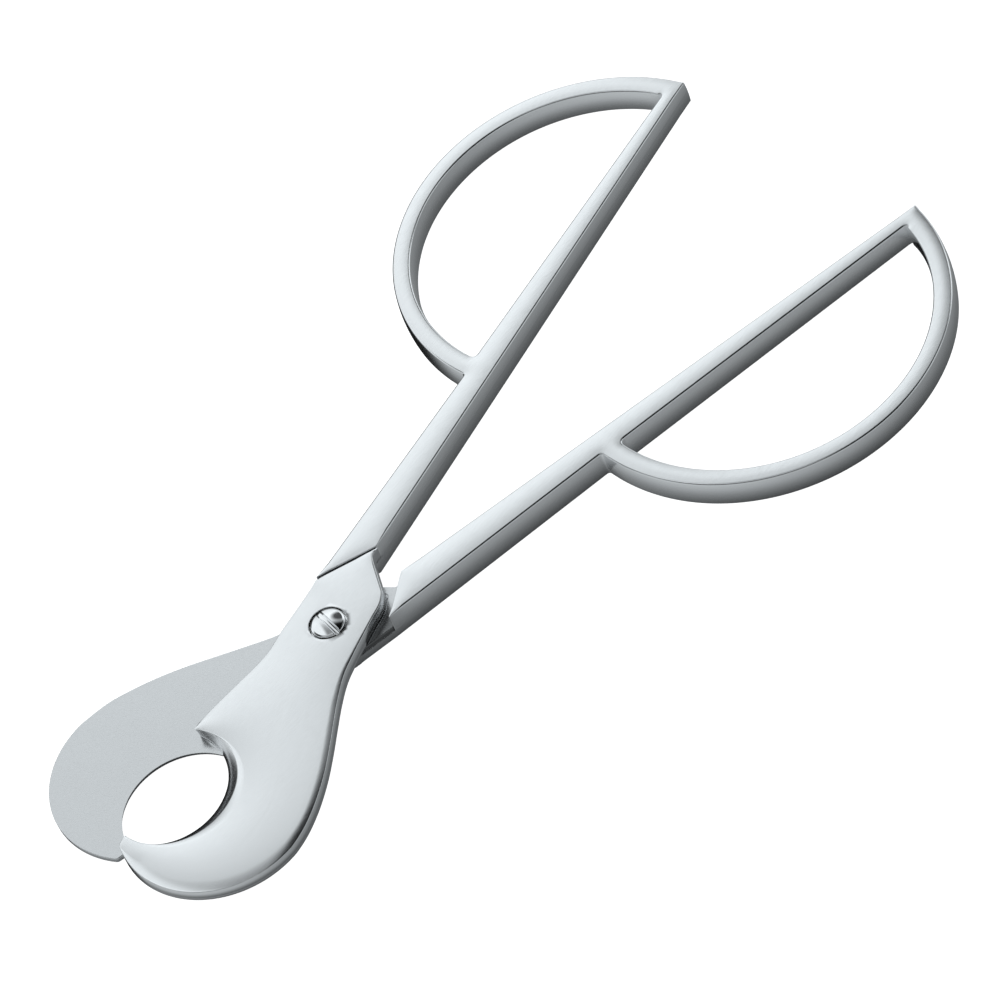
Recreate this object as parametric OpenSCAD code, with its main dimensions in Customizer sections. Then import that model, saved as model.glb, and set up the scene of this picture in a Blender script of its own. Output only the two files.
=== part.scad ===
// Cigar scissors: two handles, two jaws and one pivot screw.
// Each half is drawn with the pivot at the origin, its closing edge along +Y, its handle
// on the -X side and its jaw's disc below. The rear half is then mirrored.

/* [Overall] */
// Distance from the pivot to the tip of each bow
reach = 106.5; // [95:0.5:120]
// Angle between the two closing edges as the scissors lie
rest_opening = 25.5; // [5:0.5:60]
// Thickness of a handle at its shoulder
bar_t_root = 5.0; // [4.6:0.1:6]
// Thickness of a handle at the tip of its bow
bar_t_tip = 4.3; // [3.6:0.1:4.5]

/* [Bar and bow] */
// Outer radius of the half-round bow
bow_r = 30.25; // [27:0.25:32]
// Width of the bow's band where it meets the bar
band_end = 3.5; // [3:0.1:4]
// Width of the bow's band at its far side
band_side = 3.0; // [2.5:0.1:3.4]
// Width of the bar at the shoulder
bar_w_root = 6.0; // [5.8:0.1:7]
// Width of the bar where the bow begins
bar_w_bow = 4.3; // [3.8:0.1:5]
// Width of the bar at the tip of the bow
bar_w_tip = 2.5; // [2:0.1:3]
// Gap between each closing edge and the centre line
closing_relief = 0.05; // [0.02:0.01:0.2]

/* [Shoulders] */
// Where the 45 degree lap shoulders start, along the closing edge
shoulder_y = 13.0; // [12:0.1:13.5]
// Where the front jaw's seam starts, along the closing edge
seam_y = 14.4; // [14:0.1:15]
// Slope of that seam across the bar
seam_slope = 1.34; // [1.2:0.01:1.4]
// Step down from the front handle to the front jaw
seam_step = 0.3; // [0.1:0.1:0.5]
// Gap between the front jaw and the rear blade
lap_gap = 0.05; // [0.03:0.01:0.1]

/* [Jaws] */
// Outer radius of the front jaw
front_jaw_r = 14.9; // [14.5:0.1:15.5]
// Outer radius of the rear blade
rear_jaw_r = 15.2; // [14.5:0.1:15.5]
// Distance from the pivot to the jaws' centres
jaw_y = 33.2; // [32.5:0.1:34]
// Sideways place of the front jaw's centre
front_jaw_x = 1.0; // [0.5:0.1:1.2]
// Sideways place of the rear blade's centre
rear_jaw_x = -1.25; // [-1.5:0.05:-0.5]
// Thickness of the rear blade
blade_t = 0.85; // [0.6:0.05:1.2]

/* [Cutting bay] */
// Radius of both crescent edges
bay_r = 10.0; // [9.5:0.1:10.2]
// Distance from the pivot to the crescents' centres
bay_y = 32.6; // [32:0.1:33]
// Sideways place of the front crescent's centre
front_bay_x = -9.7; // [-10.2:0.1:-9]
// Sideways place of the rear crescent's centre
rear_bay_x = -11.4; // [-11.8:0.1:-10.8]
// How far the front bevel leans back over the jaw's thickness
bevel_run = 3.0; // [2:0.1:3.5]
// Width of the narrow bevel under the rear edge
blade_bevel = 0.6; // [0.3:0.1:1]

/* [Pivot] */
// Diameter of the screw's head
head_d = 6.0; // [5:0.1:6.4]
// Diameter of the screw's shank
shank_d = 3.0; // [2.5:0.1:3.4]
// Depth of the counterbore for the head
counterbore_depth = 0.85; // [0.7:0.05:1]
// Thickness of the spring washer
washer_t = 0.2; // [0.1:0.05:0.25]
// Height of the dome above the head's rim
dome_h = 0.45; // [0.3:0.05:0.7]
// Width of the screwdriver slot
slot_w = 1.0; // [0.8:0.1:1.2]
// Diameter of the threaded bush
bush_d = 5.0; // [4.4:0.1:5.4]

/* [Hidden] */
$fn = 96;

running_fit = 0.03;
press_gap = 0.01;
far = 200;

// Levels
mid_z = bar_t_root / 2;
tang_t = mid_z - blade_t;
jaw_z = mid_z + lap_gap;
jaw_top = bar_t_root - seam_step;
jaw_t = jaw_top - jaw_z;

// Bow and bar
bow_y = reach - bow_r;
hole_r = bow_r - band_end;
hole_x = band_side - band_end;
bow_root_y = bow_y - bow_r;
bar_foot_y = 6;
taper = atan((bar_t_root - bar_t_tip) / (reach - bar_foot_y));

// Jaws: the outer side of each from its root down to where its disc takes over, the side
// that has the bay, and the tips of horn and hook
front_side_points = [[5.0, 7.7], [5.8, 5.6], [6.0, 3.0], [6.3, 0], [6.7, -3.5], [7.3, -7.2],
    [8.6, -11], [10.3, -15], [12.05, -19], [13.7, -23.2], [15.0, -27.6], [15.7, -31.5],
    [15.8, -34.5]];
rear_side_points = [[3.6, 7.7], [5.0, 5.4], [5.2, 2.5], [5.1, -0.5], [5.1, -3.5], [5.7, -6.5],
    [7.1, -10.1], [8.9, -14.4], [10.95, -19.3], [12.6, -24.3], [13.65, -29],
    [13.93, -32]];
bay_side_points = [[-9.3, -21.5], [-8.9, -19.1], [-7.5, -13.6], [-6.6, -10.2], [-6.1, -7],
    [-6.2, -3.5], [-6.1, 0], [-6.0, 4]];
side_steps = 4;
disc_from = -12;
disc_to = -195;
disc_steps = 50;
horn_y = -21.5;
front_hook_x = -9.2;
rear_hook_x = -10.9;
tang_r = 6.2;

// Front jaw's tongue and its pins
tongue_x = -3.0;
tongue_w = 3.2;
tongue_end_y = 17.5;
tongue_z = jaw_z + 0.5;
tongue_t = 1.1;
pin_d = 1.0;
pin_top = tongue_z + tongue_t + 0.1;
pin_spots = [[tongue_x, 15.9], [tongue_x, 12.6]];

// Rear blade's rivets
rivet_d = 1.4;
rivet_spots = [[-0.4, 8.9], [0.4, -4.7]];

// Pivot screw
counterbore_d = head_d + 0.3;
counterbore_z = jaw_top - counterbore_depth;
head_z = counterbore_z + running_fit + washer_t;
rim_z = jaw_top + 0.1;
dome_top = rim_z + dome_h;
bush_floor = 0.5;
dome_r = (pow(head_d / 2, 2) + pow(dome_h, 2)) / (2 * dome_h);
slot_floor = rim_z - 0.35;
slot_angle = 177.4;

// A smooth curve through the points p, passed at an even pace (a Catmull-Rom spline).
function smooth(p) = concat([for (i = [0:len(p) - 2]) for (k = [0:side_steps - 1])
    blend(p[max(i - 1, 0)], p[i], p[i + 1], p[min(i + 2, len(p) - 1)], k / side_steps)],
    [p[len(p) - 1]]);
function blend(a, b, c, d, t) = b + t * (c - a) / 2 + t * t * (2 * a - 5 * b + 4 * c - d) / 2
    + t * t * t * (3 * b - a - 3 * c + d) / 2;

// Points round a jaw's disc, clockwise past its hook.
function arc(c, r) = [for (k = [0:disc_steps])
    let (a = disc_from + (disc_to - disc_from) * k / disc_steps) c + r * [cos(a), sin(a)]];

// Places a half as it lies.
module front_side() rotate([0, 0, rest_opening / 2]) children();
module rear_side() rotate([0, 0, -rest_opening / 2]) mirror([1, 0, 0]) children();

// The side of the 45 degree shoulder line that the handle is on.
module above_shoulder() {
    polygon([[far, shoulder_y + far], [0, shoulder_y], [-far, shoulder_y - far], [-far, far]]);
}

// The side of the seam that the front handle is on.
module above_seam() {
    polygon([[far, seam_y + seam_slope * far], [-far, seam_y - seam_slope * far],
        [-far, seam_y + seam_slope * far]]);
}

// The D-shaped finger opening: a circle cut off by the bar's tapering side.
module finger_opening() {
    intersection() {
        translate([hole_x, bow_y]) circle(r = hole_r);
        polygon([[-bar_w_bow - 0.1, bow_root_y], [-bar_w_tip, reach], [-far, reach],
            [-far, bow_root_y]]);
    }
}

// A whole handle in plan: the bar, and the half-round bow round its opening.
module handle_outline() {
    difference() {
        union() {
            polygon([[0, bar_foot_y], [0, bow_y], [-bar_w_bow, bow_y],
                [-bar_w_bow, bow_root_y], [-bar_w_root, bar_foot_y]]);
            translate([0, bow_y]) circle(r = bow_r);
        }
        translate([-closing_relief, -far]) square([far, 2 * far]);
        finger_opening();
    }
}

// A handle at full thickness, its top sloping down towards the tip.
module handle_blank() {
    intersection() {
        linear_extrude(height = bar_t_root) handle_outline();
        translate([-far, bar_foot_y, bar_t_root]) rotate([-taper, 0, 0])
            translate([0, -10, -10]) cube([2 * far, far, 10]);
    }
}

// Outline of a jaw or blade before its bay is cut. Its closing side starts at root_y; on
// the handle side it runs on above foot_y, to be cut off at the bar's shoulder or seam.
module jaw_outline(root_y, foot_y, side_points, disc_x, disc_r) {
    polygon(concat([[-bar_w_root, foot_y], [0, foot_y + 2 * bar_w_root], [0, root_y]],
        smooth(side_points), arc([disc_x, -jaw_y], disc_r), [[-9.35, horn_y - 1]],
        smooth(bay_side_points)));
}

// Removes the part of a jaw that would reach past its hook and its horn.
module past_hook(x) {
    translate([x - far, -far]) square([far, far + horn_y]);
}

// The front crescent's cutter: a round bay that leans back from the cutting edge.
module leaning_bay() {
    lean = bevel_run / jaw_t;
    hull() for (z = [-1, jaw_t + 1])
        translate([front_bay_x + lean * z, -bay_y, z]) cylinder(r = bay_r, h = 0.01);
}

// The rear crescent's cutter, wider below so that the top edge is the sharp one.
module narrow_bevel_bay() {
    translate([rear_bay_x, -bay_y, 0])
        cylinder(r1 = bay_r + blade_bevel, r2 = bay_r, h = blade_t);
}

// The rear blade's and the tang's holes.
module rivet_holes(depth) {
    for (spot = rivet_spots) translate([spot[0], spot[1], -1])
        cylinder(d = rivet_d + 2 * press_gap, h = depth + 2);
    translate([0, 0, -1]) cylinder(d = bush_d + 2 * press_gap, h = depth + 2);
}

// Tongue of the front jaw, or with a gap its slot in the front handle.
module tongue(gap) {
    translate([tongue_x - tongue_w / 2 - gap, 0, tongue_z - gap])
        cube([tongue_w + 2 * gap, tongue_end_y + gap, tongue_t + 2 * gap]);
}

// Rear handle: bar, bow and the half-thickness tang that passes under the front jaw.
module rear_handle() color("gainsboro") rear_side() {
    difference() {
        union() {
            intersection() {
                handle_blank();
                linear_extrude(height = bar_t_root) above_shoulder();
            }
            linear_extrude(height = tang_t) {
                intersection() {
                    handle_outline();
                    square([far, 2 * shoulder_y], center = true);
                }
                circle(r = tang_r);
                polygon([[-bar_w_root, 7], [-closing_relief, shoulder_y - closing_relief],
                    [-closing_relief, 11.2], [3.2, 8], [5.2, 3.4], [0, 0], [-6.1, 1]]);
            }
        }
        rivet_holes(tang_t);
    }
}

// Rear blade: thin, flat, with a crescent edge.
module rear_blade() color("silver") rear_side() translate([0, 0, tang_t]) difference() {
    linear_extrude(height = blade_t) difference() {
        jaw_outline(11.3, shoulder_y - bar_w_root, rear_side_points, rear_jaw_x, rear_jaw_r);
        above_shoulder();
        translate([-far, shoulder_y - 14]) square([far - 5.95, far]);
        past_hook(rear_hook_x);
    }
    narrow_bevel_bay();
    rivet_holes(blade_t);
}

// Flush rivets that hold the blade on the tang.
module rear_blade_rivets() color("dimgray") rear_side()
    for (spot = rivet_spots) translate(spot) cylinder(d = rivet_d, h = mid_z);

// Closed bush pressed into the tang, flush at the back; its thread is left plain.
module pivot_bush() color("darkgray") rear_side() difference() {
    cylinder(d = bush_d, h = mid_z);
    translate([0, 0, bush_floor]) cylinder(d = shank_d + 2 * press_gap, h = mid_z);
}

// Domed, slotted shoulder screw.
module pivot_screw() color("whitesmoke") rear_side() difference() {
    union() {
        translate([0, 0, bush_floor]) cylinder(d = shank_d, h = head_z - bush_floor + 0.1);
        intersection() {
            translate([0, 0, head_z]) cylinder(d = head_d, h = dome_top - head_z);
            translate([0, 0, dome_top - dome_r]) sphere(r = dome_r);
        }
    }
    rotate([0, 0, slot_angle]) translate([-head_d, -slot_w / 2, slot_floor])
        cube([2 * head_d, slot_w, 2]);
}

// Spring washer under the screw's head.
module pivot_washer() color("goldenrod") rear_side() difference() {
    translate([0, 0, counterbore_z + running_fit]) cylinder(d = head_d - 0.4, h = washer_t);
    cylinder(d = shank_d + 0.2, h = bar_t_root);
}

// Front handle: bar and bow, with the slot for the jaw's tongue.
module front_handle() color("gainsboro") front_side() difference() {
    handle_blank();
    translate([0, 0, -1]) linear_extrude(height = 1 + mid_z) difference() {
        square([4 * bar_w_root, 4 * shoulder_y], center = true);
        above_shoulder();
    }
    translate([0, 0, mid_z - 0.01]) linear_extrude(height = far) difference() {
        square([4 * bar_w_root, 4 * shoulder_y], center = true);
        above_seam();
    }
    tongue(press_gap);
    for (spot = pin_spots) translate([spot[0], spot[1], -1])
        cylinder(d = pin_d + 2 * press_gap, h = 1 + pin_top + press_gap);
}

// Front jaw: thick plate with the leaning crescent, the screw's seat and the tongue.
module front_jaw() color("white") front_side() difference() {
    union() {
        translate([0, 0, jaw_z]) difference() {
            linear_extrude(height = jaw_t) difference() {
                jaw_outline(shoulder_y - 0.3, seam_y - seam_slope * bar_w_root,
                    front_side_points, front_jaw_x, front_jaw_r);
                above_seam();
                past_hook(front_hook_x);
            }
            leaning_bay();
        }
        difference() {
            tongue(0);
            linear_extrude(height = far) difference() {
                square([4 * bar_w_root, far], center = true);
                translate([0.5, 0]) above_seam();
            }
        }
    }
    cylinder(d = shank_d + 2 * running_fit, h = far);
    translate([0, 0, counterbore_z]) cylinder(d = counterbore_d, h = far);
    for (spot = pin_spots) translate([spot[0], spot[1], -1])
        cylinder(d = pin_d + 2 * press_gap, h = far);
}

// Pins pressed in from below through the handle and the jaw's tongue.
module front_jaw_pins() color("dimgray") front_side()
    for (spot = pin_spots) translate(spot) cylinder(d = pin_d, h = pin_top);

rear_handle();
rear_blade();
rear_blade_rivets();
pivot_bush();
pivot_screw();
pivot_washer();
front_handle();
front_jaw();
front_jaw_pins();
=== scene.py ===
"""Looks for the cigar scissors: finished meshes, steels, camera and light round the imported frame."""
import math

import bmesh
import bpy
import numpy as np
from mathutils import Matrix, Vector, geometry


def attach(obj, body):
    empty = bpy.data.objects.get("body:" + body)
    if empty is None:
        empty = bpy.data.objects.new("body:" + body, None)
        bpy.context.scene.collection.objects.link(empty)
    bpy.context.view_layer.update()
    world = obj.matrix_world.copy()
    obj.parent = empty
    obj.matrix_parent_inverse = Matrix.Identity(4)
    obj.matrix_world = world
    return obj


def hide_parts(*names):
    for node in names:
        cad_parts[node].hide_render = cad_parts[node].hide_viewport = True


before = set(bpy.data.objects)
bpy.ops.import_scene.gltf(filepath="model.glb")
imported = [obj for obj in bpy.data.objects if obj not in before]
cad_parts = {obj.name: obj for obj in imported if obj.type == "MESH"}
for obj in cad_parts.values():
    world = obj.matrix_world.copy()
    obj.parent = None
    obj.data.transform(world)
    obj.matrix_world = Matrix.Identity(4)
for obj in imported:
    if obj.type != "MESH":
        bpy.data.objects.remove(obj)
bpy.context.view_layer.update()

MM = 0.001
HALF = 12.75                 # each half is turned this far from the middle line, in degrees
FRONT = Matrix.Rotation(math.radians(HALF), 4, "Z")
REAR = Matrix.Rotation(math.radians(-HALF), 4, "Z") @ Matrix.Diagonal((-1, 1, 1, 1))

# Sizes in millimetres, as in the CAD
BAR_T, BAR_SLOPE, FOOT_Y = 5.0, 0.7 / 100.5, 6.0
MID_Z, TANG_T = 2.5, 1.65
GAP_LOW, GAP_HIGH = (-4.38, 49.8), (-2.5, 103.45)      # corners of the finger gap, on the bar
NOTCH_X = -4.28                                        # where the bow's low end meets the bar
JAW_Z, JAW_TOP = 2.55, 4.7
BOW_Y, BOW_R = 76.25, 30.25
HOLE_X, HOLE_R = -0.5, 26.75
JAW_Y = -33.2
BAY_Y, BAY_R = -32.6, 10.0
RELIEF = 0.05
ROW_PITCH = 0.866            # spacing of rows in a triangular grid, over that of its points


# ---------------------------------------------------------------- outlines

def line(a, b):
    return np.array([a, b], float)


def arc(cx, cy, r, a0, a1, step=0.4):
    n = max(4, int(abs(a1 - a0) / step))
    t = np.radians(np.linspace(a0, a1, n + 1))
    return np.stack([cx + r * np.cos(t), cy + r * np.sin(t)], 1)


def smooth(points, steps=30):
    """Catmull-Rom curve through the points."""
    p = np.array(points, float)
    out = []
    for i in range(len(p) - 1):
        a, b, c, d = p[max(i - 1, 0)], p[i], p[i + 1], p[min(i + 2, len(p) - 1)]
        for k in range(steps):
            t = k / steps
            out.append(b + t * (c - a) / 2 + t * t * (2 * a - 5 * b + 4 * c - d) / 2
                       + t ** 3 * (3 * b - a - 3 * c + d) / 2)
    out.append(p[-1])
    return np.array(out)


def lengths(run):
    return np.concatenate([[0], np.cumsum(np.linalg.norm(np.diff(run, axis=0), axis=1))])


def at(run, s):
    """Points of a run at distances s along it."""
    cum = lengths(run)
    return np.stack([np.interp(s, cum, run[:, k]) for k in (0, 1)], -1)


def loop(runs, trims, counts):
    """Joins runs into one closed outline, rounding the corner after run i over trims[i].
    Returns the points and, for each, the run that it belongs to."""
    points, owner = [], []
    for i, run in enumerate(runs):
        total = lengths(run)[-1]
        s0, s1 = trims[i - 1], total - trims[i]
        g = min(0.12, (s1 - s0) / 8)
        s = np.concatenate([[s0], np.linspace(s0 + g, s1 - g, max(counts[i] - 1, 2)), [s1]])
        points += list(at(run, s))
        owner += [i] * len(s)
        a, b = at(run, np.array([s1]))[0], run[-1]
        c = at(runs[(i + 1) % len(runs)], np.array([trims[i]]))[0]
        for t in np.linspace(0, 1, 8)[1:-1]:
            points.append((1 - t) ** 2 * a + 2 * t * (1 - t) * b + t * t * c)
            owner.append(i)
    return np.array(points), np.array(owner)


def outward(p):
    """Outward offset direction at each point of a counter-clockwise outline."""
    d0 = p - np.roll(p, 1, 0)
    d1 = np.roll(p, -1, 0) - p
    d0 /= np.linalg.norm(d0, axis=1)[:, None]
    d1 /= np.linalg.norm(d1, axis=1)[:, None]
    t = d0 + d1
    t /= np.linalg.norm(t, axis=1)[:, None]
    n = np.stack([t[:, 1], -t[:, 0]], 1)
    n0 = np.stack([d0[:, 1], -d0[:, 0]], 1)
    return n / np.maximum((n * n0).sum(1), 0.6)[:, None]


def eased(sizes, p, rate):
    """Sizes round an outline p, cut back so that none changes faster than rate along it."""
    s = lengths(np.vstack([p, p[:1]]))
    apart = np.abs(s[:-1, None] - s[None, :-1])
    return (sizes[None] + rate * np.minimum(apart, s[-1] - apart)).min(1)


def fitted(p, n, deepest):
    """n, shortened in tight corners so that an outline drawn in by deepest stays clear of
    itself: no point is drawn in past the middle of the largest round that fits there."""
    q = at(np.vstack([p, p[:1]]), np.linspace(0, lengths(np.vstack([p, p[:1]]))[-1], 1200))
    gap = q[None] - p[:, None]
    toward = -(gap * n[:, None]).sum(2)
    far2 = (gap ** 2).sum(2)
    step = np.minimum(np.linalg.norm(p - np.roll(p, 1, 0), axis=1),
                      np.linalg.norm(np.roll(p, -1, 0) - p, axis=1))
    ahead = (toward > 1e-6) & (far2 > (1.5 * step[:, None]) ** 2)
    room = np.where(ahead, far2 / np.maximum(2 * toward, 1e-6), 1e3).min(1)
    f = np.clip(0.8 * room / deepest, 0.05, 1)
    return n * eased(f, p, 0.5)[:, None]


def ring(p, n, inset, z):
    """Outline p drawn in by inset, at height z. inset and z may differ from point to point."""
    q = p - n * np.broadcast_to(inset, len(p))[:, None]
    return np.column_stack([q, np.broadcast_to(z, len(p))])


# ---------------------------------------------------------------- crowned faces

def inside(points, outline):
    """Which points lie inside a closed outline."""
    x, y = points[:, 0][:, None], points[:, 1][:, None]
    a, b = outline, np.roll(outline, -1, 0)
    over = (a[:, 1] > y) != (b[:, 1] > y)
    with np.errstate(divide="ignore", invalid="ignore"):
        cross = a[:, 0] + (y - a[:, 1]) * (b[:, 0] - a[:, 0]) / (b[:, 1] - a[:, 1])
    return (over & (x < cross)).sum(1) % 2 == 1


def to_edge(points, outline):
    """Distance from each point to a closed outline."""
    a, b = outline[None], np.roll(outline, -1, 0)[None]
    p = points[:, None]
    ab = b - a
    t = np.clip(((p - a) * ab).sum(2) / np.maximum((ab * ab).sum(2), 1e-12), 0, 1)
    return np.linalg.norm(p - a - ab * t[..., None], axis=2).min(1)


def crowned(loops, held, spacing, slope):
    """Triangles over a flat region bounded by loops, the first one outside, and the height of
    each point: a full crown, rising at the given slope from the first held loops. The crown
    follows from the shape of an evenly loaded skin (its height over its local half width)."""
    edge = np.concatenate(loops)
    lo, hi = edge.min(0), edge.max(0)
    row_gap = spacing * ROW_PITCH
    rows = int((hi[1] - lo[1]) / row_gap) + 2
    cols = int((hi[0] - lo[0]) / spacing) + 2
    grid = np.array([(lo[0] + (c + 0.5 * (r % 2)) * spacing, lo[1] + r * row_gap)
                     for r in range(rows) for c in range(cols)])
    keep = inside(grid, loops[0])
    for hole in loops[1:]:
        keep &= ~inside(grid, hole)
    grid = grid[keep]
    for outline in loops:
        grid = grid[to_edge(grid, outline) > spacing * 0.55]
    pts = np.concatenate([edge, grid])
    edges, start = [], 0
    for outline in loops:
        n = len(outline)
        edges += [(start + i, start + (i + 1) % n) for i in range(n)]
        start += n
    out = geometry.delaunay_2d_cdt([Vector(p) for p in pts], edges, [], 0, 1e-7)
    flat = np.array([(v.x, v.y) for v in out[0]])
    origin = [o[0] if o else -1 for o in out[3]]
    tris = np.array([t for t in out[2] if len(t) == 3])
    mid = flat[tris].mean(1)
    good = inside(mid, loops[0])
    for hole in loops[1:]:
        good &= ~inside(mid, hole)
    tris = tris[good]
    tris = np.array([[origin[k] for k in t] for t in tris])
    if tris.min() < 0:
        raise ValueError("an outline of a crowned face crosses itself")
    n = len(pts)
    p = pts[tris]
    twice = np.abs(np.cross(p[:, 1] - p[:, 0], p[:, 2] - p[:, 0]))
    share = np.bincount(tris.ravel(), np.repeat(twice / 6, 3), n)
    ij, w = [], []
    for k in range(3):
        i, j, o = tris[:, k], tris[:, (k + 1) % 3], tris[:, (k + 2) % 3]
        cot = ((pts[i] - pts[o]) * (pts[j] - pts[o])).sum(1) / np.maximum(twice, 1e-9) / 2
        ij += [np.stack([i, j], 1), np.stack([j, i], 1)]
        w += [cot, cot]
    ij, w = np.concatenate(ij), np.concatenate(w)
    total = np.bincount(ij[:, 0], w, n)
    free = np.arange(n) >= sum(len(outline) for outline in loops[:held])

    def stiff(u):
        return (total * u - np.bincount(ij[:, 0], w * u[ij[:, 1]], n)) * free

    u = np.zeros(n)
    r = share * free
    d, rr = r.copy(), (r * r).sum()
    for _ in range(600):
        ad = stiff(d)
        step = rr / max((d * ad).sum(), 1e-30)
        u += step * d
        r -= step * ad
        new = (r * r).sum()
        if new < 1e-16:
            break
        d = r + d * new / rr
        rr = new
    g = np.zeros((len(tris), 2))
    facing = np.sign(np.cross(p[:, 1] - p[:, 0], p[:, 2] - p[:, 0]))
    for k in range(3):
        e = pts[tris[:, (k + 2) % 3]] - pts[tris[:, (k + 1) % 3]]
        pull = facing * u[tris[:, k]] / np.maximum(twice, 1e-9)
        g += np.stack([-e[:, 1], e[:, 0]], 1) * pull[:, None]
    gv = np.stack([np.bincount(tris.ravel(), np.repeat(g[:, k] * twice, 3), n) for k in (0, 1)], 1)
    gv /= np.bincount(tris.ravel(), np.repeat(twice, 3), n)[:, None]
    half = np.sqrt(2 * u + (gv ** 2).sum(1) + 1e-6)
    return pts, tris, slope * u / half


# ---------------------------------------------------------------- solids

def solid(name, rings, place, body, nodes, slot, holes=(), crown=None):
    """A closed mesh through the rings, from the bottom cap to the top one. Each hole is
    (rings from low to high, opens below, opens above). crown, if given, is the top cap's
    (point spacing, slope at its edge, height of its plane at given points, outlines held)."""
    bm = bmesh.new()
    rows = [[bm.verts.new(v) for v in r] for r in rings]
    stacks = [rows]
    low, high = [rows[0]], [rows[-1]]
    for hole_rings, below, above in holes:
        h = [[bm.verts.new(v) for v in r] for r in hole_rings]
        stacks.append(h)
        if below:
            low.append(h[0])
        else:
            bm.faces.new(h[0])
        if above:
            high.append(h[-1])
        else:
            bm.faces.new(h[-1])
    for stack in stacks:
        for a, b in zip(stack, stack[1:]):
            for i in range(len(a)):
                j = (i + 1) % len(a)
                bm.faces.new((a[i], a[j], b[j], b[i]))
    if crown:
        spacing, slope, plane, held = crown
        pts, tris, rise = crowned([np.array([v.co[:2] for v in part]) for part in high],
                                  held, spacing, slope)
        flat = [v for part in high for v in part]
        z = plane(pts) + rise
        for v, h in zip(flat, z):
            v.co.z = h
        flat += [bm.verts.new((p[0], p[1], h)) for p, h in zip(pts[len(flat):], z[len(flat):])]
        for tri in tris:
            bm.faces.new([flat[k] for k in tri])
    for cap in ((low,) if crown else (low, high)):
        flat = [v for part in cap for v in part]
        tris = geometry.tessellate_polygon([[Vector((v.co.x, v.co.y, 0)) for v in part]
                                            for part in cap])
        for tri in tris:
            bm.faces.new([flat[k] for k in tri])
    bmesh.ops.remove_doubles(bm, verts=bm.verts, dist=1e-5)
    bmesh.ops.dissolve_degenerate(bm, edges=bm.edges, dist=1e-5)
    return finish_mesh(name, bm, place, body, nodes, slot)


def finish_mesh(name, bm, place, body, nodes, slot, sharp=32):
    bmesh.ops.transform(bm, matrix=Matrix.Scale(MM, 4) @ place, verts=bm.verts)
    bmesh.ops.recalc_face_normals(bm, faces=bm.faces)
    mesh = bpy.data.meshes.new(name)
    bm.to_mesh(mesh)
    bm.free()
    for poly in mesh.polygons:
        poly.use_smooth = True
    mesh.set_sharp_from_angle(angle=math.radians(sharp))
    obj = bpy.data.objects.new(name, mesh)
    bpy.context.scene.collection.objects.link(obj)
    obj.data.materials.append(MATERIALS[slot])
    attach(obj, body)
    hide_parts(*nodes)
    return obj


def circle_rings(cx, cy, profile, n=72):
    """Rings round (cx, cy) for a list of (radius, z), turned so they wind clockwise."""
    t = -np.radians(np.arange(n) * 360 / n)
    return [np.column_stack([cx + r * np.cos(t), cy + r * np.sin(t), np.full(n, z)])
            for r, z in profile]


def turned(name, cx, cy, profile, place, body, nodes, slot, n=72):
    """A turned piece: the profile is (radius, z) from the bottom cap to the top cap."""
    rings = [r[::-1] for r in circle_rings(cx, cy, profile, n)]
    return solid(name, rings, place, body, nodes, slot)


def edge_round(r, z, size, up, steps=4):
    """Profile points that round a turned piece's edge, up for its top one."""
    a = [math.radians(90 * k / steps) for k in range(steps + 1)]
    pts = [(r - size * (1 - math.cos(t)), z - size * (1 - math.sin(t))) for t in a]
    if not up:
        pts = [(r - size * (1 - math.cos(t)), z + size * (1 - math.sin(t))) for t in a][::-1]
    return pts


# ---------------------------------------------------------------- steels

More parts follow.
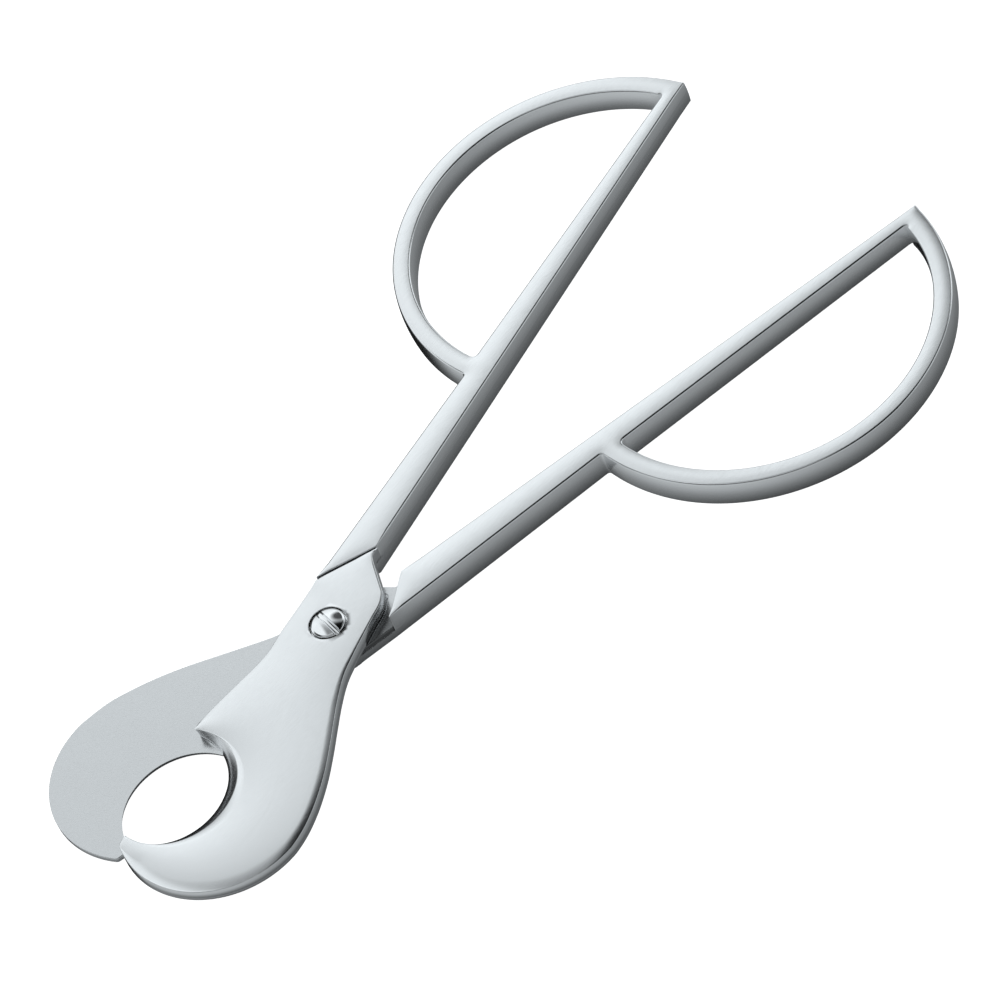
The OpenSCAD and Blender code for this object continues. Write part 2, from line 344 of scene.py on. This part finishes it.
def steel(name, base, rough, grain, turn, bump, mottle=0.03, painted_shade=None):
    """A metal with a fine lengthwise grain, faint mottling and uneven polish. The last argument, if
    given, paints shade into the colour: a dark patch round a point, standing in for the jaw's
    shade and dark mirrored wall, given as its place, inner and outer radius, and how dark."""
    mat = bpy.data.materials.new(name)
    mat.use_nodes = True
    nt = mat.node_tree
    nodes, link = nt.nodes, nt.links.new
    bsdf = nodes["Principled BSDF"]
    bsdf.inputs["Metallic"].default_value = 1.0
    coord = nodes.new("ShaderNodeTexCoord")
    spin = nodes.new("ShaderNodeMapping")
    spin.inputs["Rotation"].default_value = (0, 0, math.radians(turn))
    link(coord.outputs["Object"], spin.inputs["Vector"])
    stretch = nodes.new("ShaderNodeMapping")
    stretch.inputs["Scale"].default_value = grain
    link(spin.outputs["Vector"], stretch.inputs["Vector"])
    fine = nodes.new("ShaderNodeTexNoise")
    fine.inputs["Scale"].default_value = 1.0
    fine.inputs["Detail"].default_value = 4.0
    link(stretch.outputs["Vector"], fine.inputs["Vector"])
    broad = nodes.new("ShaderNodeTexNoise")
    broad.inputs["Scale"].default_value = 60.0
    broad.inputs["Detail"].default_value = 3.0
    link(coord.outputs["Object"], broad.inputs["Vector"])
    tint = nodes.new("ShaderNodeMapRange")
    tint.inputs["To Min"].default_value = 1 - mottle
    tint.inputs["To Max"].default_value = 1 + mottle
    link(broad.outputs["Fac"], tint.inputs["Value"])
    shade = tint.outputs["Result"]
    # Painted shade: the base colour is darkened round a point by the pivot, in place of the jaw's
    # shade and mirrored dark wall.
    if painted_shade:
        (x, y), inner, outer, dark = painted_shade
        away = nodes.new("ShaderNodeVectorMath")
        away.operation = "DISTANCE"
        link(coord.outputs["Object"], away.inputs[0])
        away.inputs[1].default_value = (x * MM, y * MM, MID_Z * MM)
        fade = nodes.new("ShaderNodeMapRange")
        fade.interpolation_type = "SMOOTHSTEP"
        for key, value in zip(("From Min", "From Max", "To Min", "To Max"),
                              (inner * MM, outer * MM, dark, 1.0)):
            fade.inputs[key].default_value = value
        link(away.outputs["Value"], fade.inputs["Value"])
        both = nodes.new("ShaderNodeMath")
        both.operation = "MULTIPLY"
        link(shade, both.inputs[0])
        link(fade.outputs["Result"], both.inputs[1])
        shade = both.outputs[0]
    colour = nodes.new("ShaderNodeVectorMath")
    colour.operation = "SCALE"
    colour.inputs[0].default_value = base
    link(shade, colour.inputs["Scale"])
    link(colour.outputs["Vector"], bsdf.inputs["Base Color"])
    polish = nodes.new("ShaderNodeMapRange")
    polish.inputs["From Min"].default_value = 0.3
    polish.inputs["From Max"].default_value = 0.7
    polish.inputs["To Min"].default_value = rough * 0.85
    polish.inputs["To Max"].default_value = rough * 1.15
    link(fine.outputs["Fac"], polish.inputs["Value"])
    link(polish.outputs["Result"], bsdf.inputs["Roughness"])
    relief = nodes.new("ShaderNodeBump")
    relief.inputs["Strength"].default_value = bump
    relief.inputs["Distance"].default_value = 0.00002
    link(fine.outputs["Fac"], relief.inputs["Height"])
    link(relief.outputs["Normal"], bsdf.inputs["Normal"])
    return mat


MATERIALS = {
    "polished_steel": steel("polished_steel", (0.83, 0.84, 0.85), 0.20, (6000, 700, 3000), 0, 0.10),
    # The satin steel carries a painted shade round the pivot, in place of the jaw's shade and mirrored
    # dark wall.
    "satin_steel": steel("satin_steel", (0.71, 0.72, 0.73), 0.25, (9000, 3000, 5000), 60, 0.12,
                         painted_shade=((5.8, 2.8), 3.2, 6.6, 0.25)),
    "bright_screw": steel("bright_screw", (0.86, 0.87, 0.88), 0.09, (3000, 3000, 3000), 0, 0.05),
    "washer_bronze": steel("washer_bronze", (0.62, 0.42, 0.20), 0.30, (5000, 5000, 5000), 0, 0.2),
}


# ---------------------------------------------------------------- handles

BAR_CROWN, BAR_RISE = 0.078, 0.10      # slope of a bar's top at its edges; room for its crown


def bar_top(p):
    return BAR_T - BAR_RISE - BAR_SLOPE * (p[:, 1] - FOOT_Y)


def bulge(s, size=0.15):
    """How far a wall is drawn in at fraction s of its height, so that it is slightly full."""
    return size * (2 * s - 1) ** 2


EDGE_LOW, EDGE_TOP = 0.18, 0.32       # radii of a handle's edges
ROOT_TOP, BROKEN = 0.08, 0.05         # and of the top edge and the step at its root


def foot_rings(p, n):
    """A handle's bottom cap edge and its rounding."""
    out = [ring(p, n, bulge(0) + EDGE_LOW + 0.06, 0)]
    for a in np.radians([0, 25, 50, 75, 90]):
        out.append(ring(p, n, bulge(0) + EDGE_LOW * (1 - math.sin(a)), EDGE_LOW * (1 - math.cos(a))))
    return out


def crown_rings(p, n, top, size=EDGE_TOP):
    """Rounding of the top edge, up to where the crown takes over, and the crown's edge."""
    out = []
    for a in np.radians([0, 18, 36, 54, 70, 84]):
        out.append(ring(p, n, bulge(1) + size * (1 - math.cos(a)),
                        top - BAR_CROWN * 0.06 - size * (1 - math.sin(a))))
    out.append(ring(p, n, bulge(1) + size + 0.06, top))
    return out


def side_rings(p, n, top):
    """Wall rings from the bottom rounding to the top one."""
    out = []
    for s in np.linspace(0, 1, 6):
        z = EDGE_LOW + (top - EDGE_TOP - EDGE_LOW) * s
        out.append(ring(p, n, bulge(s), z))
    return out


def finger_gap():
    """The D-shaped opening, wound clockwise, as rings from the bottom up."""
    def turn_to(x, y):
        return math.degrees(math.atan2(y - BOW_Y, x - HOLE_X)) % 360

    bow = arc(HOLE_X, BOW_Y, HOLE_R, turn_to(*GAP_LOW), turn_to(*GAP_HIGH))
    bow[0], bow[-1] = GAP_LOW, GAP_HIGH
    p, _ = loop([bow, line(GAP_HIGH, GAP_LOW)], [0.8, 0.8], [96, 24])
    n = fitted(p, outward(p), 0.5)
    top = bar_top(p)
    return foot_rings(p, n) + side_rings(p, n, top)[1:-1] + crown_rings(p, n, top)


def handle(name, low_run, high_run, step_z, place, body, nodes, slot, count, low_holes, trims):
    """A bar and bow. Its root end follows low_run below step_z and high_run above it."""
    tip = np.array([-RELIEF, BOW_Y + math.sqrt(BOW_R ** 2 - RELIEF ** 2)])
    notch = np.array([NOTCH_X, BOW_Y - math.sqrt(BOW_R ** 2 - NOTCH_X ** 2)])
    a1 = math.degrees(math.atan2(notch[1] - BOW_Y, notch[0])) % 360
    bow = arc(0, BOW_Y, BOW_R, 90.1, a1)
    bow[0], bow[-1] = tip, notch

    def whole(root):
        runs = [line(root[-1], tip), bow, line(notch, root[0]), root]
        return loop(runs, trims, [34, 120, 18, count])

    p0, own = whole(low_run)
    p1, own1 = whole(high_run)
    n0, n1 = fitted(p0, outward(p0), 0.5), fitted(p1, outward(p1), 0.5)
    root = own == 3
    top = bar_top(p1)
    rings = foot_rings(p0, n0)
    span = top - EDGE_TOP - EDGE_LOW
    s_mid = (step_z - EDGE_LOW) / span
    for k in range(1, 5):
        s = s_mid * k / 4
        z = EDGE_LOW + span * s
        last = k == 4                   # the edge of the step at the root is broken
        if last:
            rings.append(ring(p0, n0, bulge(s), z - BROKEN * root))
        rings.append(ring(p0, n0, bulge(s) + BROKEN * (root & last), z))
    rings.append(ring(p1, n1, bulge(s_mid), step_z))
    for k in range(1, 6):
        s = s_mid + (1 - s_mid) * k / 6
        rings.append(ring(p1, n1, bulge(s), EDGE_LOW + span * s))
    crisp = np.where(own1 == 3, ROOT_TOP, EDGE_TOP)
    rings += crown_rings(p1, n1, top, eased(crisp, p1, 0.10))
    holes = [(finger_gap(), True, True)] + low_holes
    return solid(name, rings, place, body, nodes, slot, holes, (0.45, BAR_CROWN, bar_top, 2))


def blind_below(x, y, r, depth):
    """A round hollow in the underside, which a pin or bush fills."""
    return (circle_rings(x, y, [(r + 0.05, 0), (r, 0.05), (r, depth)], 48), True, False)


front_low = line((-6.0, 6.45), (-RELIEF, 12.95))
front_high = line((-6.0, 6.36), (-RELIEF, 14.33))
PINS = [(-3.0, 15.9), (-3.0, 12.6)]
handle("front_bar_and_bow", front_low, front_high, MID_Z, FRONT, "front_half", ["front_handle"],
       "polished_steel", 12, [blind_below(x, y, 0.53, 1.2) for x, y in PINS],
       [0.45, 0.35, 0.30, 0.30])

tang = np.concatenate([[(-6.0, 7.0)], [(-6.1, 1.0)], arc(0, 0, 6.2, 171, 393.2, 3),
                       [(3.2, 8.0)], [(-RELIEF, 11.2)], [(-RELIEF, 12.95)]])
rear_high = line((-6.0, 7.0), (-RELIEF, 12.95))
RIVETS = [(-0.4, 8.9), (0.4, -4.7)]
handle("rear_bar_and_bow", tang, rear_high, TANG_T, REAR, "rear_half", ["rear_handle"],
       "polished_steel", 60, [blind_below(x, y, 0.73, 1.0) for x, y in RIVETS]
       + [blind_below(0, 0, 2.53, 1.0)],
       [0.45, 0.35, 0.30, 0.30])


# ---------------------------------------------------------------- rear blade

REAR_SIDE = [(3.6, 7.7), (5.0, 5.4), (5.2, 2.5), (5.1, -0.5), (5.1, -3.5), (5.7, -6.5),
             (7.1, -10.1), (8.9, -14.4), (10.95, -19.3), (12.6, -24.3), (13.65, -29),
             (13.93, -32)]
REAR_C, REAR_R = (-1.25, JAW_Y), 15.2
BLADE_BAY_X, GRIND = -11.4, 0.30      # the bay's centre, and how far its edge is ground back
BAY_SIDE = [(-9.3, -21.5), (-8.9, -19.1), (-7.5, -13.6), (-6.6, -10.2), (-6.1, -7),
            (-6.2, -3.5), (-6.1, 0)]


def disc_arc(c, r, x_from, a_end):
    """The jaw's round outside, from where it stands at x_from round to the angle a_end."""
    a0 = 360 - math.degrees(math.acos((x_from - c[0]) / r))
    return arc(c[0], c[1], r, a0, 360 + a_end)


def off_disc(c, r, a_end, side):
    """The side's curve, from the bottom up, as it leaves the disc at the angle a_end."""
    lead = [(c[0] + r * math.cos(math.radians(a)), c[1] + r * math.sin(math.radians(a)))
            for a in (a_end - 8, a_end)]
    steps = 30
    return smooth(lead + side[::-1], steps)[steps + 1:]


def bay_arc(cx, r, x_top, x_low):
    """A crescent edge from horn to hook."""
    a0 = math.degrees(math.acos((x_top - cx) / r))
    a1 = -math.degrees(math.acos((x_low - cx) / r))
    return arc(cx, BAY_Y, r, a0, a1)


def blade_loop(r):
    """The rear blade's outline, with its bay's radius r."""
    left = np.concatenate([[(-5.95, 7.0)], [(-5.95, -1.0)], smooth(BAY_SIDE[:-1])[::-1]])
    bay = bay_arc(BLADE_BAY_X, r, -9.42, -10.9)
    left = np.concatenate([left, [bay[0]]])
    disc = disc_arc(REAR_C, REAR_R, -10.9, -12)
    side = np.concatenate([disc, off_disc(REAR_C, REAR_R, -12, REAR_SIDE), [(-RELIEF, 11.3)]])
    runs = [line((-RELIEF, 12.9), (-5.95, 7.0)), left, bay, line(bay[-1], disc[0]), side,
            line((-RELIEF, 11.3), (-RELIEF, 12.9))]
    return loop(runs, [0.15, 0.25, 0.12, 0.35, 0.2, 0.15], [8, 40, 60, 4, 130, 4])


low, owner = blade_loop(BAY_R + GRIND)
top, _ = blade_loop(BAY_R)
low_out, top_out = fitted(low, outward(low), 0.2), fitted(top, outward(top), 0.2)
in_bay = owner == 2
soft = np.where(in_bay, 0.02, 0.09)
rings = [ring(low, low_out, 0.10, TANG_T), ring(low, low_out, 0.04, TANG_T),
         ring(low, low_out, 0.0, TANG_T + 0.05)]
for k in range(1, 3):
    t = k / 3
    rings.append(ring(low + (top - low) * t, top_out, 0.0, TANG_T + 0.05 + (0.80 - soft) * t))
for a in np.radians([0, 30, 60, 90]):
    rings.append(ring(top, top_out, soft * (1 - math.cos(a)), MID_Z - soft + soft * math.sin(a)))
rings.append(ring(top, top_out, soft + 0.05, MID_Z))
rivet_seat = [(circle_rings(x, y, [(0.78, MID_Z - 0.12), (0.78, MID_Z - 0.03), (0.82, MID_Z)], 48),
               False, True) for x, y in RIVETS]
solid("rear_crescent_blade", rings, REAR, "rear_half", ["rear_blade"], "satin_steel", rivet_seat)


# ---------------------------------------------------------------- front jaw

FRONT_SIDE = [(5.0, 7.7), (5.8, 5.6), (6.0, 3.0), (6.3, 0), (6.7, -3.5), (7.3, -7.2),
              (8.6, -11), (10.3, -15), (12.05, -19), (13.7, -23.2), (15.0, -27.6),
              (15.7, -31.5), (15.8, -34.5)]
FRONT_C, FRONT_R = (1.0, JAW_Y), 14.9
BAY_X_LOW, BAY_X_TOP = -9.7, -6.75    # the bay's centre at the bottom and at the top
HOLLOW = 1.6                          # how hollow the bay's bevel is ground; 1 is flat


def jaw_loop(bay_cx):
    """The jaw's outline, with its bay's centre at bay_cx."""
    bay = bay_arc(bay_cx, BAY_R, -9.34, -9.2)
    left = smooth([(-6.0, 4.0)] + BAY_SIDE[::-1])
    left = left[left[:, 1] > bay[0][1] + 0.3]
    left = np.concatenate([[(-6.0, 6.36)], left, [bay[0]]])
    disc = disc_arc(FRONT_C, FRONT_R, -9.2, -12)
    side = np.concatenate([disc, off_disc(FRONT_C, FRONT_R, -12, FRONT_SIDE), [(0.35, 12.35)]])
    runs = [line((-0.02, 14.36), (-6.0, 6.36)), left, bay, line(bay[-1], disc[0]), side,
            smooth([(0.35, 12.35), (0.05, 12.75), (-0.02, 13.3), (-0.02, 14.36)])]
    return loop(runs, [0.5, 0.25, 0.12, 0.55, 0.1, 0.2], [12, 44, 80, 5, 150, 10])


def hollow(z):
    """How far the bay's bevel has moved from its bottom edge to its top one at height z: it is
    ground hollow, so it starts steep and ends shallow."""
    return ((z - JAW_Z) / (JAW_TOP - JAW_Z)) ** HOLLOW


low, owner = jaw_loop(BAY_X_LOW)
top, _ = jaw_loop(BAY_X_TOP)
low_out, top_out = fitted(low, outward(low), 0.4), fitted(top, outward(top), 1.7)
in_bay = owner == 2
JAW_EDGE, JAW_CROWN = JAW_TOP - 0.08, 0.05      # the crowned top's edge height and slope there
BULGE = 0.09                                    # how far the walls are drawn in at their edges
along_bay = np.zeros(len(top))
along_bay[in_bay] = np.sin(np.linspace(0, math.pi, in_bay.sum())) ** 2
# The edge is a tight round, then a shoulder that falls away from the crown, from side to side:
# the round's radius, the shoulder's width and how steep the shoulder gets.
part = [owner == 0, owner == 1, in_bay, owner == 3, owner == 4]
width_by_y = np.interp(top[:, 1], [-47, -41, -30, -12, -3, 2], [1.7, 1.5, 1.1, 0.9, 0.4, 0.2])
steep_by_y = np.interp(top[:, 1], [-47, -40, -34], [0.19, 0.20, 0.30])
tight = np.select(part, [0.06, 0.08, 0.05 + 0.10 * along_bay, 0.07, 0.12], 0.10)
width = np.select(part, [0.06, 1.00, 0.10 + 0.85 * along_bay, 0.12, width_by_y], 0.15)
steep = np.select(part, [0.30, 0.16, 0.20 + 0.40 * along_bay, 0.30, steep_by_y], 0.30)
tight, width = eased(tight, top, 0.10), eased(width, top, 0.35)
turn_in = np.arctan(steep)
e_low = np.where(in_bay, 0.015, 0.12)
round_z = (JAW_EDGE - width * (JAW_CROWN + (steep - JAW_CROWN) / 2)
           - tight * np.cos(turn_in))
rings = [ring(low, low_out, e_low + 0.05, JAW_Z)]
for a in np.radians([0, 45, 90]):
    rings.append(ring(low, low_out, e_low * (1 - math.sin(a)), JAW_Z + e_low * (1 - math.cos(a))))
for k in range(1, 6):
    t = k / 6
    z = JAW_Z + e_low + (round_z - JAW_Z - e_low) * t
    f = hollow(z)
    rings.append(ring(low + (top - low) * f[:, None], top_out,
                      np.where(in_bay, 0, BULGE * (2 * t - 1) ** 2), z))
side = np.where(in_bay, 0, BULGE)
for k in range(7):
    a = (math.pi / 2 - turn_in) * k / 6
    z = round_z + tight * np.sin(a)
    f = hollow(z)
    rings.append(ring(low + (top - low) * f[:, None], top_out, side + tight * (1 - np.cos(a)), z))
for k in range(1, 10):
    u = 1 - k / 9
    z = JAW_EDGE - width * (JAW_CROWN * u + (steep - JAW_CROWN) * u * u / 2)
    f = hollow(z)
    rings.append(ring(low + (top - low) * f[:, None], top_out,
                      side + tight * (1 - np.sin(turn_in)) + width * (1 - u), z))
seat = [(1.58, JAW_Z), (1.53, JAW_Z + 0.05), (1.53, 3.80), (1.58, 3.85), (2.82, 3.85),
        (2.87, 3.90), (2.87, 4.66), (2.89, 4.71), (2.93, 4.74), (2.99, 4.76)]
solid("front_crescent_jaw", rings, FRONT, "front_half", ["front_jaw"], "polished_steel",
      [(circle_rings(0, 0, seat, 96), True, True)],
      (0.55, JAW_CROWN, lambda p: np.full(len(p), JAW_EDGE), 1))


# ---------------------------------------------------------------- pivot and fixings

for i, (x, y) in enumerate(PINS):
    turned(f"jaw_pin_{i + 1}", x, y,
           [(0.30, 0.0)] + edge_round(0.5, 0.0, 0.08, False) + edge_round(0.5, 1.15, 0.05, True)
           + [(0.3, 1.15)], FRONT, "front_half", ["front_jaw_pins"], "satin_steel", 40)
for i, (x, y) in enumerate(RIVETS):
    turned(f"blade_rivet_low_{i + 1}", x, y,
           [(0.40, 0.0)] + edge_round(0.7, 0.0, 0.08, False) + edge_round(0.7, 0.95, 0.05, True)
           + [(0.4, 0.95)], REAR, "rear_half", ["rear_blade_rivets"], "satin_steel", 48)
    turned(f"blade_rivet_top_{i + 1}", x, y,
           [(0.40, MID_Z - 0.11)] + edge_round(0.66, MID_Z - 0.11, 0.02, False)
           + edge_round(0.66, MID_Z, 0.05, True) + [(0.4, MID_Z)],
           REAR, "rear_half", ["rear_blade_rivets"], "satin_steel", 48)
turned("bush", 0, 0,
       [(0.5, 0.04), (0.62, 0.04), (0.75, 0.0), (1.9, 0.0)] + edge_round(2.5, 0.0, 0.10, False)
       + edge_round(2.5, 0.95, 0.05, True) + [(2.0, 0.95)],
       REAR, "rear_half", ["pivot_bush"], "satin_steel", 96)


def washer():
    n = 96
    outer = [(2.20, 3.88), (2.39, 3.89), (2.40, 3.93), (2.40, 4.03), (2.39, 4.07), (2.20, 4.08)]
    inner = [(1.70, 3.88), (1.62, 3.90), (1.60, 3.94), (1.60, 4.02), (1.62, 4.06), (1.70, 4.08)]
    solid("spring_washer", [r[::-1] for r in circle_rings(0, 0, outer, n)], REAR, "rear_half",
          ["pivot_washer"], "washer_bronze", [(circle_rings(0, 0, inner, n), True, True)])


washer()


def screw():
    """Domed head on its shank, with a round-bottomed driver slot cut across it."""
    slot_r, slot_z, slot_turn = 0.5, 4.45, -HALF + 2.6
    rim, dome, r = 4.82, 0.42, 2.62
    sphere_r = (r * r + dome * dome) / (2 * dome)
    profile = [(1.0, 2.56), (1.42, 2.56), (1.5, 2.62), (1.5, 4.05), (1.52, 4.08), (r - 0.12, 4.08)]
    profile += edge_round(r, 4.08, 0.08, False)[1:]
    profile += [(r, z) for z in (4.3, 4.45, 4.57)]
    for k in range(0, 7):                  # rounded rim between the side and the dome
        a = math.radians(76 * k / 6)
        profile.append((r - 0.22 * (1 - math.cos(a)), 4.62 + 0.22 * math.sin(a)))
    edge_r = profile[-1][0]
    for q in np.linspace(edge_r - 0.06, 0.12, 16):
        profile.append((q, rim + math.sqrt(sphere_r ** 2 - q * q) - (sphere_r - dome)))
    obj = turned("slotted_screw", 0, 0, profile, REAR, "rear_half", ["pivot_screw"],
                 "bright_screw", 128)
    cut = bmesh.new()
    section = [(slot_r, 2.0)] + [(slot_r * math.cos(t), slot_r * math.sin(t))
                                 for t in np.linspace(0, -math.pi, 17)] + [(-slot_r, 2.0)]
    ends = [[cut.verts.new((x, y, z)) for y, z in section] for x in (-4, 4)]
    for end in ends:
        cut.faces.new(end)
    for i in range(len(section)):
        j = (i + 1) % len(section)
        cut.faces.new((ends[0][i], ends[0][j], ends[1][j], ends[1][i]))
    bmesh.ops.recalc_face_normals(cut, faces=cut.faces)
    place = (Matrix.Rotation(math.radians(slot_turn), 4, "Z")
             @ Matrix.Translation((0, 0, slot_z + slot_r)))
    bmesh.ops.transform(cut, matrix=Matrix.Scale(MM, 4) @ place, verts=cut.verts)
    mesh = bpy.data.meshes.new("slot_cutter")
    cut.to_mesh(mesh)
    cut.free()
    cutter = bpy.data.objects.new("slot_cutter", mesh)
    bpy.context.scene.collection.objects.link(cutter)
    mod = obj.modifiers.new("slot", "BOOLEAN")
    mod.operation = "DIFFERENCE"
    mod.solver = "EXACT"
    mod.object = cutter
    edge = obj.modifiers.new("edges", "BEVEL")
    edge.width = 0.05 * MM
    edge.segments = 3
    edge.limit_method = "ANGLE"
    edge.angle_limit = math.radians(50)
    bpy.context.view_layer.update()
    made = bpy.data.meshes.new_from_object(obj.evaluated_get(bpy.context.evaluated_depsgraph_get()))
    obj.modifiers.clear()
    obj.data = made
    for poly in made.polygons:
        poly.use_smooth = True
    made.set_sharp_from_angle(angle=math.radians(38))
    bpy.data.objects.remove(cutter)
    bpy.data.meshes.remove(mesh)


screw()


# ---------------------------------------------------------------- floor, light and camera

FLOOR_SIZE, FLOOR_DROP = 1.5, 0.00005
bm = bmesh.new()
bmesh.ops.create_grid(bm, x_segments=2, y_segments=2, size=FLOOR_SIZE)
bmesh.ops.translate(bm, vec=(0, 0, -FLOOR_DROP), verts=bm.verts)
mesh = bpy.data.meshes.new("floor")
bm.to_mesh(mesh)
bm.free()
floor = bpy.data.objects.new("floor", mesh)
bpy.context.scene.collection.objects.link(floor)
pale = bpy.data.materials.new("pale_floor")
pale.use_nodes = True
shade = pale.node_tree.nodes["Principled BSDF"]
shade.inputs["Base Color"].default_value = (0.9, 0.9, 0.9, 1)
shade.inputs["Roughness"].default_value = 0.9
shade.inputs["Emission Color"].default_value = (1, 1, 1, 1)
shade.inputs["Emission Strength"].default_value = 0.95
mesh.materials.append(pale)
floor.visible_glossy = False            # the steel mirrors the room's lower half, not the floor

world = bpy.data.worlds.new("studio")
bpy.context.scene.world = world
world.use_nodes = True
wn, wl = world.node_tree.nodes, world.node_tree.links.new
back = wn["Background"]
coord = wn.new("ShaderNodeTexCoord")


def dot(axis):
    node = wn.new("ShaderNodeVectorMath")
    node.operation = "DOT_PRODUCT"
    wl(coord.outputs["Generated"], node.inputs[0])
    node.inputs[1].default_value = axis
    return node.outputs["Value"]


def maths(op, *values):
    node = wn.new("ShaderNodeMath")
    node.operation = op
    for k, v in enumerate(values):
        if isinstance(v, (int, float)):
            node.inputs[k].default_value = v
        else:
            wl(v, node.inputs[k])
    return node.outputs[0]


def ramp(value, low, high, stops):
    """A grey ramp over value, with stops given in value's own units."""
    scaled = wn.new("ShaderNodeMapRange")
    scaled.inputs["From Min"].default_value = low
    scaled.inputs["From Max"].default_value = high
    wl(value, scaled.inputs["Value"])
    node = wn.new("ShaderNodeValToRGB")
    wl(scaled.outputs["Result"], node.inputs["Fac"])
    els = node.color_ramp.elements
    while len(els) < len(stops):
        els.new(0.5)
    for el, (stop, v) in zip(els, stops):
        el.position = (stop - low) / (high - low)
        el.color = (v / 2, v / 2, v / 2, 1)
    return maths("MULTIPLY", node.outputs["Color"], 2.0)


def product(*values):
    made = values[0]
    for value in values[1:]:
        made = maths("MULTIPLY", made, value)
    return made


def less(amount, *values):
    """What is left where a dark window takes amount away."""
    return maths("SUBTRACT", 1.0, product(amount, *values))


def band(value, low, high, a, b, c, d):
    """1 where value lies from b to c, falling to 0 at a and at d."""
    return ramp(value, low, high, [(a, 0.0), (b, 1.0), (c, 1.0), (d, 0.0)])


# The room is a bright one with a few dark windows, which give the steel its black lines. Two
# windows are round: a small one 41 degrees up, and a large one centred 18 degrees under the
# horizon.
# Directions over the horizon go by their angle round the room, from the side behind the camera
# (0), over the ceiling (90), to the bright wall (180), and by how far they lean along it.
# Directions under the horizon go by how steeply they point down.
NEAR, ALONG = (0.886, -0.463, 0.0), (0.463, 0.886, 0.0)
HIGH_WINDOW, LOW_WINDOW = (-0.465, 0.595, 0.656), (-0.947, 0.083, -0.309)
z = dot((0, 0, 1))
aside = dot(ALONG)
turn = maths("MULTIPLY", maths("ARCTAN2", z, dot(NEAR)), 180 / math.pi)
ceiling = product(
    ramp(turn, 0, 180, [
        (0, 0.50), (60, 0.60), (84, 0.62), (92, 0.58), (99, 0.34), (107, 0.28), (115, 0.42),
        (124, 0.66), (131, 0.97), (138, 1.16), (146, 1.16), (156, 1.0), (168, 0.75), (180, 0.55)]),
    ramp(aside, -1, 1, [(-1.0, 0.9), (-0.3, 0.9), (-0.17, 0.80), (-0.08, 0.96), (0.0, 1.0)]),
    less(0.97, band(turn, 0, 180, 34, 41, 64, 74), band(aside, -1, 1, -0.80, -0.74, 0.64, 0.74)),
    less(0.99, band(turn, 0, 180, 34, 41, 116, 126), band(aside, -1, 1, 0.05, 0.12, 0.62, 0.74)),
    less(0.92, band(turn, 0, 180, 34, 41, 125, 135),
         band(aside, -1, 1, -0.78, -0.74, -0.62, -0.56)),
    less(0.93, ramp(dot(HIGH_WINDOW), 0.9, 1, [(0.970, 0.0), (0.992, 1.0)])))
strip = product(
    ramp(aside, -1, 1, [(-0.56, 0.0), (-0.48, 1.0), (-0.24, 1.0), (-0.16, 0.3), (-0.1, 0.0)]),
    band(turn, 0, 180, 86, 100, 140, 155))
ceiling = maths("MAXIMUM", ceiling, strip)
down = maths("MULTIPLY", maths("ARCSINE", z), 180 / math.pi)
ground = product(
    ramp(down, -90, 0, [(-90, 0.03), (-70, 0.05), (-60, 0.09), (-48, 0.21), (-37, 0.40),
                        (-28, 0.46), (0, 0.45)]),
    less(0.4, aside))
is_up = maths("GREATER_THAN", z, 0.0)
level = product(
    maths("ADD", product(ceiling, is_up), product(ground, maths("SUBTRACT", 1.0, is_up))),
    less(0.98, ramp(dot(LOW_WINDOW), -1, 1, [(0.74, 0.0), (0.86, 1.0)])))
tone = wn.new("ShaderNodeCombineColor")
for k, amount in enumerate((0.952, 1.0, 1.022)):       # the light is slightly cold
    wl(maths("MULTIPLY", level, amount), tone.inputs[k])
wl(tone.outputs["Color"], back.inputs["Color"])
back.inputs["Strength"].default_value = 1.0

CAMERA_LENS, CAMERA_ROLL = 256.14, -24.507
CAMERA_AT, CAMERA_TO = (0.60932, -0.28505, 0.77274), (0.003261, 0.031942, 0)
camera_data = bpy.data.cameras.new("camera")
camera_data.sensor_width = 36
camera_data.lens = CAMERA_LENS
camera_data.clip_end = 20
camera = bpy.data.objects.new("camera", camera_data)
bpy.context.scene.collection.objects.link(camera)
spot = Vector(CAMERA_AT)
ahead = (Vector(CAMERA_TO) - spot).normalized()
right = ahead.cross(Vector((0, 0, 1))).normalized()
up = right.cross(ahead)
roll = math.radians(CAMERA_ROLL)
c, s = math.cos(roll), math.sin(roll)
right, up = c * right + s * up, -s * right + c * up
camera.matrix_world = Matrix(((right.x, up.x, -ahead.x, spot.x), (right.y, up.y, -ahead.y, spot.y),
                              (right.z, up.z, -ahead.z, spot.z), (0, 0, 0, 1)))
bpy.context.scene.camera = camera
bpy.context.scene.view_settings.view_transform = "Standard"
